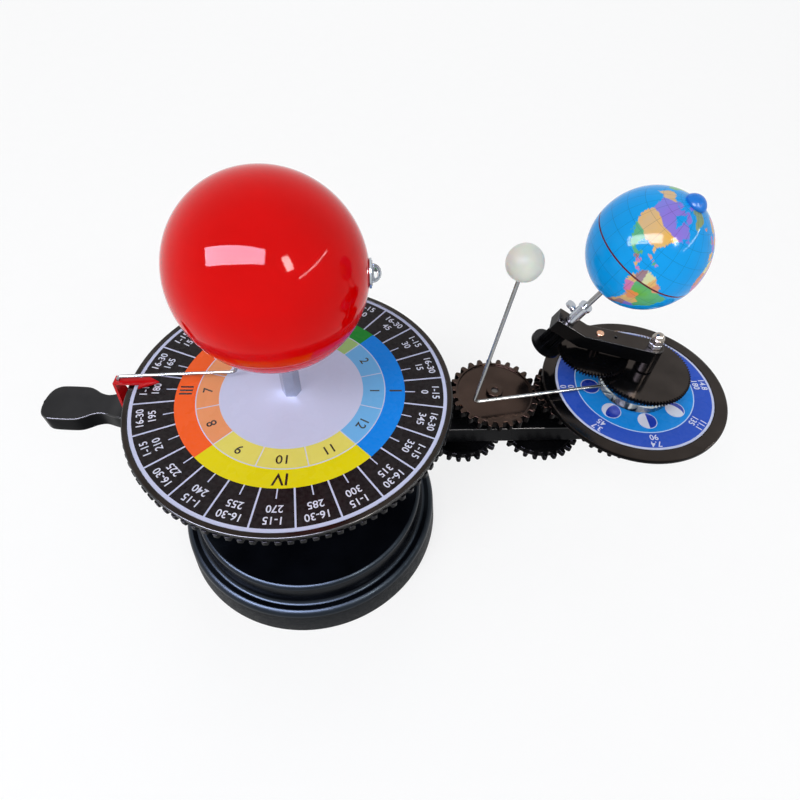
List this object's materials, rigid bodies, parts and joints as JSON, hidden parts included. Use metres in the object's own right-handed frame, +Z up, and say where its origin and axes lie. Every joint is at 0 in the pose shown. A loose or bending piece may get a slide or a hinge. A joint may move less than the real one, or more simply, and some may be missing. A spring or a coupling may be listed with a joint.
{
  "type": "tellurion",
  "caption": "Hand-turned tellurion: a swing arm with open gear trains carries a tilted Earth globe and a Moon around a red Sun over a month dial on a round base.",
  "frame": {"origin": "centre of the round base on the table plane, below the Sun's axis", "axes": "+Z up; +X along the swing arm from the Sun to the Earth; -Y is the pictured front"},
  "size_m": [0.419, 0.1924, 0.2783],
  "materials": {
    "black_plastic": "black moulded plastic",
    "zinc": "bright zinc plating",
    "steel": "drawn steel wire and rod",
    "brass": "turned brass",
    "iron": "rough cast iron",
    "nylon": "natural nylon",
    "red_plastic": "glossy red plastic",
    "pointer_red": "red plastic",
    "dial_print": "printed label",
    "phase_print": "printed label",
    "cell_wrap": "plain cell wrapper",
    "bulb_glass": "clear lamp glass",
    "clear_plastic": "clear acrylic",
    "moon_white": "milky white plastic",
    "copper": "copper rivet",
    "globe_print": "printed and varnished globe",
    "blue_plastic": "glossy blue plastic"
  },
  "bodies": {
    "base": {"base_shell": "black_plastic", "base_column": "black_plastic", "base_plate": "black_plastic", "base_screws": "zinc", "ballast": "iron", "centre_post": "steel", "post_nut": "zinc", "fixed_gear": "black_plastic", "thrust_washers": "nylon", "ring_gear": "black_plastic", "ring_screws": "zinc", "dial_disc": "black_plastic", "dial_label": "dial_print", "hex_post": "zinc"},
    "arm": {"swing_arm": "black_plastic", "arm_bush": "brass", "spindle_bush": "brass", "turn_handle": "black_plastic", "handle_screws": "zinc", "date_pointer": "pointer_red", "sun_drive_wire": "steel", "upper_pins": "steel", "lower_pins": "steel", "pin_collars": "black_plastic", "phase_pillars": "black_plastic", "pillar_screws": "zinc", "phase_disc": "black_plastic", "phase_label": "phase_print"},
    "sun": {"sun_upper_shell": "red_plastic", "sun_lower_shell": "red_plastic", "sun_bush": "nylon", "battery_box": "black_plastic", "batteries": "cell_wrap", "lamp_holder": "zinc", "lamp_bulb": "bulb_glass"},
    "upper_idler_1": {"upper_gear_1": "black_plastic"},
    "upper_idler_2": {"upper_gear_2": "black_plastic"},
    "lower_idler_1": {"lower_gear_1": "black_plastic"},
    "lower_idler_2": {"lower_gear_2": "black_plastic"},
    "lower_idler_3": {"lower_gear_3": "black_plastic"},
    "moon": {"moon_pinion": "black_plastic", "moon_hub": "clear_plastic", "central_gear": "black_plastic", "moon_wire": "steel", "moon_ball": "moon_white"},
    "bracket": {"end_gear": "black_plastic", "spindle": "steel", "spindle_nut": "zinc", "earth_bracket": "black_plastic", "bracket_nut": "zinc", "cap_nut": "zinc", "transfer_pin": "copper"},
    "transfer": {"transfer_gear": "black_plastic"},
    "earth": {"earth_sleeve": "zinc", "earth_pinion": "black_plastic", "thumb_screw": "zinc", "earth_rod": "steel", "globe_north": "globe_print", "globe_south": "globe_print", "pole_knob": "blue_plastic"}
  },
  "joints": [
    {"name": "arm_turn", "type": "hinge", "parent": "base", "child": "arm", "pos_m": [0, 0, 0.1135], "axis": [0, 0, 1], "continuous": true},
    {"name": "sun_turn", "type": "hinge", "parent": "base", "child": "sun", "pos_m": [0, 0, 0.2306], "axis": [0, 0, 1], "continuous": true},
    {"name": "upper_idler_1_turn", "type": "hinge", "parent": "arm", "child": "upper_idler_1", "pos_m": [0.122, 0, 0.1368], "axis": [0, 0, 1], "continuous": true},
    {"name": "upper_idler_2_turn", "type": "hinge", "parent": "arm", "child": "upper_idler_2", "pos_m": [0.174, 0, 0.1368], "axis": [0, 0, 1], "continuous": true},
    {"name": "lower_idler_1_turn", "type": "hinge", "parent": "arm", "child": "lower_idler_1", "pos_m": [0.052, 0, 0.105], "axis": [0, 0, 1], "continuous": true},
    {"name": "lower_idler_2_turn", "type": "hinge", "parent": "arm", "child": "lower_idler_2", "pos_m": [0.104, 0, 0.105], "axis": [0, 0, 1], "continuous": true},
    {"name": "lower_idler_3_turn", "type": "hinge", "parent": "arm", "child": "lower_idler_3", "pos_m": [0.156, 0, 0.105], "axis": [0, 0, 1], "continuous": true},
    {"name": "moon_turn", "type": "hinge", "parent": "arm", "child": "moon", "pos_m": [0.208, 0, 0.1368], "axis": [0, 0, 1], "continuous": true},
    {"name": "bracket_turn", "type": "hinge", "parent": "arm", "child": "bracket", "pos_m": [0.208, 0, 0.1135], "axis": [0, 0, 1], "continuous": true},
    {"name": "transfer_turn", "type": "hinge", "parent": "bracket", "child": "transfer", "pos_m": [0.17924, 0.01047, 0.1652], "axis": [0, 0, 1], "continuous": true},
    {"name": "earth_spin", "type": "hinge", "parent": "bracket", "child": "earth", "pos_m": [0.1621, 0.01671, 0.1837], "axis": [0.3747, -0.1364, 0.9171], "continuous": true}
  ],
  "couplings": [
    {"joint": "sun_turn", "follows": "arm_turn", "ratio": 1},
    {"joint": "upper_idler_1_turn", "follows": "arm_turn", "ratio": 3.6923},
    {"joint": "upper_idler_2_turn", "follows": "arm_turn", "ratio": -3.6923},
    {"joint": "lower_idler_1_turn", "follows": "arm_turn", "ratio": 1},
    {"joint": "lower_idler_2_turn", "follows": "arm_turn", "ratio": -1},
    {"joint": "lower_idler_3_turn", "follows": "arm_turn", "ratio": 1},
    {"joint": "moon_turn", "follows": "arm_turn", "ratio": 12},
    {"joint": "bracket_turn", "follows": "arm_turn", "ratio": -1},
    {"joint": "transfer_turn", "follows": "arm_turn", "ratio": -97.5},
    {"joint": "earth_spin", "follows": "arm_turn", "ratio": 368.33}
  ]
}
